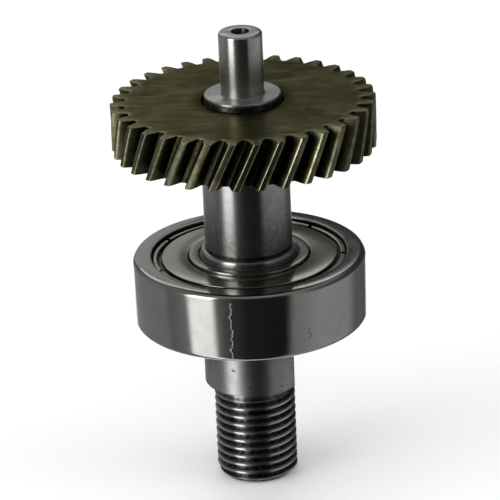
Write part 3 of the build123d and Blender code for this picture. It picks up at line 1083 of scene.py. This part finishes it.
def make_floor():
    """Plain pale floor under the nose. Shiny metal sees the studio's walls instead of it."""
    half = 4.0
    z = (NOSE_END - 0.02) * MM
    corners = [(-half, -half, z), (half, -half, z), (half, half, z), (-half, half, z)]
    mesh = bpy.data.meshes.new("floor")
    mesh.from_pydata(corners, [], [(0, 1, 2, 3)])
    floor = bpy.data.objects.new("floor", mesh)
    nodes = Nodes("floor_paper")
    tone = nodes.noise(6.0, detail=2.0)
    paper = nodes.mix(tone, (0.90, 0.90, 0.895), (0.93, 0.93, 0.925))
    nodes.link(paper, nodes.shader.inputs["Base Color"])
    nodes.shader.inputs["Roughness"].default_value = 0.9
    nodes.shader.inputs["Specular IOR Level"].default_value = 0.1
    mesh.materials.append(nodes.material)
    bpy.context.scene.collection.objects.link(floor)
    floor.visible_glossy = False


def studio_ramp(tree, factor, stops):
    """Grey ramp from (position, value) stops."""
    ramp = tree.nodes.new("ShaderNodeValToRGB")
    ramp.color_ramp.interpolation = "EASE"
    elements = ramp.color_ramp.elements
    while len(elements) > 1:
        elements.remove(elements[-1])
    elements[0].position = stops[0][0]
    elements[0].color = (*[stops[0][1]] * 3, 1)
    for position, value in stops[1:]:
        element = elements.new(position)
        element.color = (value, value, value, 1)
    tree.links.new(factor, ramp.inputs["Fac"])
    return ramp.outputs["Color"]


def blend(tree, factor, first, second):
    """Mix of two world colours."""
    node = tree.nodes.new("ShaderNodeMix")
    node.data_type = "RGBA"
    tree.links.new(factor, node.inputs["Factor"])
    tree.links.new(first, node.inputs[6])
    tree.links.new(second, node.inputs[7])
    return node.outputs[2]


def side(degrees_right_of_camera):
    """Ramp position of a direction, given in degrees to the right of the camera's own side."""
    azimuth = degrees_right_of_camera - 90
    return (azimuth + 180) % 360 / 360


def wall_stops(levels, strip):
    """Ramp stops once round the walls: the front, the given levels, and the bright strip's two edges."""
    front = [(-90, 0.15), (-67, 0.20), (-34, 0.15), (-25, 0.085),
             (-15, 0.04), (-4, 0.018), (34, 0.012), (43, 0.24)]
    edges = [(-61, strip), (-40, strip)]
    return sorted((side(degrees), value) for degrees, value in front + levels + edges)


def make_studio():
    """Studio walls: a tall bright strip to the left, dark behind the camera, soft grey elsewhere.
    Seen from above, upright faces reflect the lower half of the walls and sloping ones the upper half."""
    world = bpy.data.worlds.new("studio")
    bpy.context.scene.world = world
    world.use_nodes = True
    tree = world.node_tree
    tree.nodes.clear()
    coordinates = tree.nodes.new("ShaderNodeTexCoord")
    split = tree.nodes.new("ShaderNodeSeparateXYZ")
    tree.links.new(coordinates.outputs["Generated"], split.inputs[0])

    def calc(operation, first, second):
        node = tree.nodes.new("ShaderNodeMath")
        node.operation = operation
        for socket, value in zip(node.inputs, (first, second)):
            if isinstance(value, (int, float)):
                socket.default_value = value
            else:
                tree.links.new(value, socket)
        return node.outputs[0]

    azimuth = calc("ARCTAN2", split.outputs[1], split.outputs[0])
    around = calc("DIVIDE", calc("ADD", azimuth, math.pi), 2 * math.pi)
    below = [(-165, 1.3), (-158, 0.28), (-128, 0.23), (75, 0.35),
             (108, 0.33), (128, 0.14), (158, 0.10), (165, 1.3)]
    level = [(-180, 0.04), (-150, 0.10), (-120, 0.20), (75, 0.10), (112, 0.06), (150, 0.035)]
    height = calc("DIVIDE", calc("ADD", split.outputs[2], 1), 2)
    lower_walls = studio_ramp(tree, around, wall_stops(below, strip=1.45))
    upper_walls = studio_ramp(tree, around, wall_stops(level, strip=3.2))
    over_middle = studio_ramp(tree, height, [(0.0, 0.0), (0.46, 0.0), (0.54, 1.0)])
    walls = blend(tree, over_middle, lower_walls, upper_walls)
    sky = studio_ramp(tree, height, [(0.0, 0.09), (0.75, 0.09), (0.9, 0.20), (1.0, 0.28)])
    over_walls = studio_ramp(tree, height, [(0.0, 0.0), (0.74, 0.0), (0.86, 1.0)])
    mixed = blend(tree, over_walls, walls, sky)
    background = tree.nodes.new("ShaderNodeBackground")
    tree.links.new(mixed, background.inputs["Color"])
    output = tree.nodes.new("ShaderNodeOutputWorld")
    tree.links.new(background.outputs[0], output.inputs["Surface"])


def add_softbox(name, place, width, height, watts):
    """Rectangular area light aimed at the bearing."""
    data = bpy.data.lights.new(name, "AREA")
    data.shape = "RECTANGLE"
    data.size = width
    data.size_y = height
    data.energy = watts
    lamp = bpy.data.objects.new(name, data)
    lamp.location = place
    towards_bearing = -Vector(place)
    lamp.rotation_euler = towards_bearing.to_track_quat("-Z", "Y").to_euler()
    bpy.context.scene.collection.objects.link(lamp)
    return lamp


make_camera()
make_floor()
make_studio()
# Name, place, width and power in metres and watts
softboxes = [
    ("overhead_softbox", (-0.15, 0.10, 1.1), 1.4, 6.0),
    ("left_softbox", (-1.0, -0.3, 0.6), 1.1, 6.2),
    ("right_softbox", (1.0, -0.3, 0.6), 1.1, 6.2),
    ("front_softbox", (0.0, -1.1, 0.6), 1.1, 6.2),
    ("back_softbox", (0.0, 1.1, 0.6), 1.1, 6.2),
]
for name, place, width, watts in softboxes:
    add_softbox(name, place, width, width, watts).visible_glossy = False
# Name, place, width, height and power
cards = [
    ("upper_back_card", (-0.06, 0.30, 0.212), 0.24, 0.10, 0.058),
    ("lower_back_card", (-0.0885, 0.30, 0.0985), 0.153, 0.097, 0.0142),
]
for name, place, width, height, watts in cards:
    add_softbox(name, place, width, height, watts).visible_diffuse = False
bpy.context.scene.view_settings.view_transform = "Standard"
